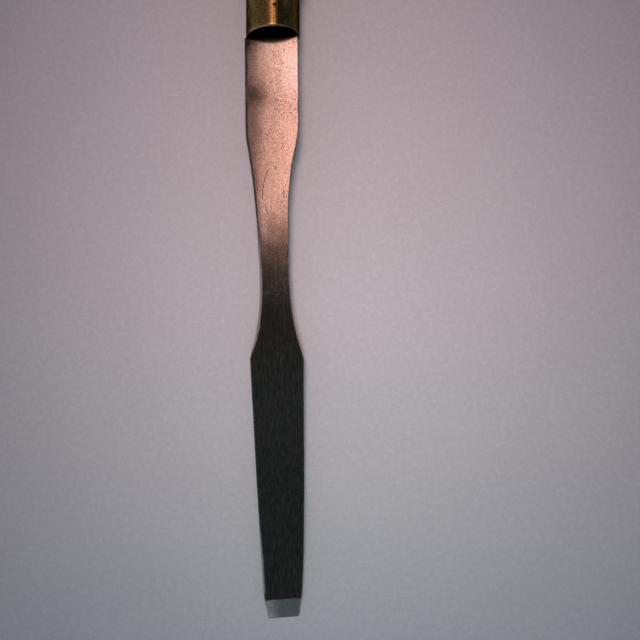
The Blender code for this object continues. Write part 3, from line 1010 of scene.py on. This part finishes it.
def old_brass():
    """Brass that is tarnished and painted with shade dark at its sides and right of its crown, rubbed along
    its crown, and bright at its rim with wear and a painted highlight.
    """
    s = Finish("old_brass")
    x, y, z = s.axes()
    cloud = s.noise((6.0, 9.0, 6.0), detail=5.0)
    grit = s.noise(0.6, detail=4.0, roughness=0.7)
    rub = s.noise((0.35, 5.0, 3.0), detail=3.0, distortion=0.4)
    brass = s.mix(s.step(cloud, 0.35, 0.65), DEEP_BRASS, FRESH_BRASS)
    brass = s.mix(s.step(grit, 0.38, 0.58, 0.72, 0.0), brass, BRASS_SPECK)
    brass = s.mix(s.step(rub, 0.55, 0.7, 0.0, 0.5), brass, BRASS_RUB)
    crust = s.step(s.plus(y, s.times(cloud, 12 * MM)), 14 * MM, 26 * MM)
    brass = s.mix(s.times(crust, 0.75), brass, BRASS_CRUST)
    # Painted shade: a dark streak just right of the crown's highlight.
    shade_streak = s.step(s.plus(x, s.times(grit, 0.8 * MM)), 1.6 * MM, 2.6 * MM)
    brass = s.mix(s.times(shade_streak, s.step(x, 3.2 * MM, 5 * MM, 0.65, 0.0)), brass, PAINTED_BRASS_SHADE_STREAK)
    # Polished wear and a painted highlight: the rim bright, fading towards the right.
    rim_wear_and_highlight = s.times(s.mark("rim"), s.step(grit, 0.25, 0.5), s.step(x, 1 * MM, 6 * MM, 1.0, 0.2))
    brass = s.mix(rim_wear_and_highlight, brass, BRASS_RIM_HIGHLIGHT)

    # Tarnish and painted shade: dark at the sides and towards the right, lighter along the crown.
    radius = s.math("SQRT", s.plus(s.times(x, x), s.times(z, z)))
    crown = s.uneven(s.math("DIVIDE", z, radius), cloud, 0.9)
    crown = s.plus(crown, s.times(s.math("DIVIDE", x, radius), -0.22))
    tarnish_and_shade = s.mix(s.step(grit, 0.35, 0.65), DARK_TARNISH_AND_SHADE, PALE_TARNISH_AND_SHADE)
    brass = s.mix(s.step(crown, 0.60, 0.96, 0.93, 0.0), brass, tarnish_and_shade)
    # Dirt and painted shade inside the bore.
    inner = FERRULE_RADIUS - FERRULE_WALL
    brass = s.mix(s.step(radius, inner, inner + 0.4 * MM, 0.9, 0.0), brass, BORE_DIRT_AND_SHADE)
    s.set(Base_Color=brass, Metallic=1.0, Specular_Tint=BRASS_SHEEN)

    rough = s.plus(s.step(cloud, 0.3, 0.7, 0.24, 0.18), s.step(grit, 0.3, 0.6, 0.10, 0.0))
    s.set(Roughness=s.plus(rough, s.step(x, -4 * MM, 0.6 * MM, 0.25, 0.0)))
    s.set(Normal=s.bump(grit, 0.016, s.bump(rub, 0.006)))
    return s.material


DARK_BEECH = (0.33, 0.150, 0.058)
LIGHT_BEECH = (0.50, 0.265, 0.115)
BEECH_GRAIN = (0.20, 0.080, 0.031)
BEECH_FLECK = (0.125, 0.048, 0.020)
BEECH_PORE = (0.10, 0.042, 0.020)
WORN_BEECH = (0.56, 0.33, 0.165)
HAND_DIRT = (0.055, 0.030, 0.019)
# Dirt and painted shade: the nose inside the ferrule's mouth.
BLACK_NOSE_AND_SHADE = (0.009, 0.006, 0.005)


def handled_beech(end):
    """Oiled beech with short flecks, dirty at both ends, worn light in the hand, and black at the nose with
    dirt and painted shade.
    """
    s = Finish("handled_beech")
    _, y, _ = s.axes()
    grain = s.noise((2.4, 60.0, 7.0), detail=7.0, roughness=0.68, distortion=0.5)
    rings = s.noise((7.0, 160.0, 5.0), detail=2.0, distortion=0.9)
    pores = s.noise((0.28, 4.0, 0.28), detail=2.0, roughness=0.6)
    grime = s.noise((14.0, 20.0, 14.0), detail=5.0, roughness=0.6)
    reach, chance = s.cells((0.42, 2.3, 0.42))
    fleck = s.step(s.minus(s.times(chance, 0.36), reach), -0.02, 0.05)
    wood = s.mix(s.step(rings, 0.3, 0.7), DARK_BEECH, LIGHT_BEECH)
    wood = s.mix(s.step(grain, 0.42, 0.64, 0.0, 0.62), wood, BEECH_GRAIN)
    wood = s.mix(s.times(fleck, 0.75), wood, BEECH_FLECK)
    wood = s.mix(s.step(pores, 0.30, 0.42, 0.5, 0.0), wood, BEECH_PORE)
    lighter_patch = s.times(s.step(y, 75 * MM, 105 * MM), s.step(grime, 0.40, 0.62))
    wood = s.mix(s.times(lighter_patch, 0.35), wood, WORN_BEECH)
    dirt = s.plus(s.step(y, 20 * MM, 45 * MM, 0.75, 0.12), s.step(y, end - 10 * MM, end, 0.0, 0.35))
    wood = s.mix(s.times(dirt, s.step(grime, 0.30, 0.60, 0.45, 1.0)), wood, HAND_DIRT)
    # The nose is made near black and without sheen: dirt and painted shade in the ferrule's mouth.
    nose = s.step(y, 10 * MM, 18.5 * MM, 1.0, 0.0)
    s.set(Base_Color=s.mix(nose, wood, BLACK_NOSE_AND_SHADE))
    s.set(Coat_Weight=s.step(nose, 0.0, 1.0, 0.25, 0.0), Coat_Roughness=0.22)
    s.set(Specular_IOR_Level=s.step(nose, 0.0, 1.0, 0.5, 0.0))
    s.set(Roughness=s.plus(s.step(grime, 0.3, 0.7, 0.34, 0.50), s.times(fleck, 0.1)))
    relief = s.bump(s.minus(1.0, fleck), 0.02)
    s.set(Normal=s.bump(pores, 0.02, s.bump(grain, 0.03, relief)))
    return s.material


RUSTY_PIN = (0.075, 0.050, 0.035)
FILED_PIN = (0.24, 0.17, 0.12)


def dark_pin():
    """Rusty steel, filed brighter here and there."""
    s = Finish("dark_pin")
    grit = s.noise(0.35, detail=4.0, roughness=0.7)
    s.set(Base_Color=s.mix(s.step(grit, 0.35, 0.65), RUSTY_PIN, FILED_PIN), Metallic=1.0)
    s.set(Roughness=s.step(grit, 0.3, 0.7, 0.50, 0.34), Normal=s.bump(grit, 0.02))
    return s.material


SHEET_SHADE = (0.765, 0.745, 0.75)
SHEET_PALE = (0.82, 0.80, 0.805)
SHEET_FIBRE = (0.58, 0.555, 0.555)
SHEET_DARK_THREAD = (0.60, 0.56, 0.57)
SHEET_LIGHT_THREAD = (0.87, 0.855, 0.86)


def pale_sheet():
    """The pale sheet that the tool lies on, faintly mottled and fibrous."""
    s = Finish("pale_sheet", on_tool=False)
    mottle = s.noise(28.0, detail=6.0, roughness=0.6)
    fibre = s.noise(0.9, detail=4.0)
    weave = s.noise(2.0, detail=3.0, shift=(4.0, 1.0, 0.0))
    sheet = s.mix(mottle, SHEET_SHADE, SHEET_PALE)
    sheet = s.mix(s.step(fibre, 0.3, 0.7, 0.26, 0.0), sheet, SHEET_FIBRE)
    sheet = s.mix(s.step(weave, 0.35, 0.65, 0.14, 0.0), sheet, SHEET_DARK_THREAD)
    sheet = s.mix(s.step(weave, 0.50, 0.70, 0.0, 0.20), sheet, SHEET_LIGHT_THREAD)
    s.set(Base_Color=sheet, Roughness=0.9, Specular_IOR_Level=0.15)
    s.set(Normal=s.bump(fibre, 0.05, s.bump(mottle, 0.4)))
    return s.material


# ---------------------------------------------------------------- floor, light and camera


def add_floor():
    bpy.ops.mesh.primitive_plane_add(size=8.0)
    floor = bpy.context.object
    floor.name = "sheet_floor"
    floor.data.materials.append(pale_sheet())


def add_lamp(name, kind, place, target, power, colour, glossy):
    """A lamp that the camera doesn't see, aimed from one place to another (mm)."""
    data = bpy.data.lights.new(name, kind)
    data.energy = power
    data.color = colour
    lamp = bpy.data.objects.new(name, data)
    bpy.context.scene.collection.objects.link(lamp)
    place, target = Vector(place) * MM, Vector(target) * MM
    lamp.location = place
    lamp.rotation_mode = "QUATERNION"
    lamp.rotation_quaternion = (target - place).to_track_quat("-Z", "Y")
    lamp.visible_camera = False
    lamp.visible_glossy = glossy
    return data


def add_panel(name, place, target, size, power, colour):
    """A soft panel, which also mirrors in the metal."""
    data = add_lamp(name, "AREA", place, target, power, colour, True)
    data.shape = "RECTANGLE"
    data.size, data.size_y = (side * MM for side in size)


def add_pool(name, place, target, angle, power, colour, radius):
    """A soft round pool of light, which doesn't mirror in the metal."""
    data = add_lamp(name, "SPOT", place, target, power, colour, False)
    data.spot_size = math.radians(angle)
    data.spot_blend = 1.0
    data.shadow_soft_size = radius * MM


def add_lights():
    add_panel("warm_panel", (25, 152, 520), (15, 36, 0), (150, 254), 0.25, (1.0, 0.56, 0.47))
    add_panel("cool_window", (-120, -900, 215), (0, -170, 0), (700, 260), 0.24, (0.82, 0.93, 1.0))
    add_pool("key", (-50, 60, 610), (25, -50, 0), 24, 5.5, (1.0, 0.79, 0.82), 110)
    add_pool("warm_pool", (-15, 120, 700), (22, -22, 0), 24, 3.0, (1.0, 0.43, 0.40), 80)
    add_pool("cool_fill", (25, -400, 600), (25, -100, 0), 26, 4.0, (0.50, 1.0, 0.99), 100)
    add_pool("handle_pool", (0, 140, 650), (0, 140, 0), 17, 2.6, (1.0, 0.86, 0.82), 100)


def add_world():
    """A pale room for the sheet, that mirrors in the metal as a dim one with a lighter horizon."""
    world = bpy.data.worlds.new("room")
    bpy.context.scene.world = world
    world.use_nodes = True
    tree = world.node_tree
    pale = tree.nodes["Background"]
    pale.inputs["Color"].default_value = (0.72, 0.79, 1.0, 1.0)
    pale.inputs["Strength"].default_value = 0.19
    direction = tree.nodes.new("ShaderNodeTexCoord").outputs["Generated"]
    split = tree.nodes.new("ShaderNodeSeparateXYZ")
    tree.links.new(direction, split.inputs["Vector"])
    strength = tree.nodes.new("ShaderNodeMapRange")
    strength.interpolation_type = "SMOOTHSTEP"
    tree.links.new(split.outputs["Z"], strength.inputs["Value"])
    for name, value in (("From Min", 0.10), ("From Max", 0.75), ("To Min", 0.13), ("To Max", 0.030)):
        strength.inputs[name].default_value = value
    dim = tree.nodes.new("ShaderNodeBackground")
    dim.inputs["Color"].default_value = (0.96, 0.96, 0.91, 1.0)
    tree.links.new(strength.outputs["Result"], dim.inputs["Strength"])
    ray = tree.nodes.new("ShaderNodeLightPath")
    blend = tree.nodes.new("ShaderNodeMixShader")
    tree.links.new(ray.outputs["Is Glossy Ray"], blend.inputs[0])
    tree.links.new(pale.outputs["Background"], blend.inputs[1])
    tree.links.new(dim.outputs["Background"], blend.inputs[2])
    tree.links.new(blend.outputs["Shader"], tree.nodes["World Output"].inputs["Surface"])


def add_camera():
    """Almost straight above the blade, with the tool left of the middle and its handle out of view."""
    sensor = 36.0
    focal_share = 1.015625  # the focal length in widths of the sensor
    distance = 229.45 * MM
    lean = TILT + math.radians(1.2)
    ahead = 101.5 * MM
    aim = MOUTH + Vector((16.9 * MM, -ahead, 2.0 * MM - ahead * math.tan(TILT)))
    data = bpy.data.cameras.new("camera")
    data.sensor_width = sensor
    data.lens = focal_share * sensor
    data.clip_start = 0.01
    data.clip_end = 20.0
    camera = bpy.data.objects.new("camera", data)
    bpy.context.scene.collection.objects.link(camera)
    camera.rotation_euler = (lean, 0.0, 0.0)
    camera.location = aim + distance * Vector((0.0, -math.sin(lean), math.cos(lean)))
    bpy.context.scene.camera = camera


make_blade()
make_ferrule()
make_handle()
make_pin()

add_floor()
add_world()
add_camera()
add_lights()
bpy.context.scene.view_settings.view_transform = "Standard"
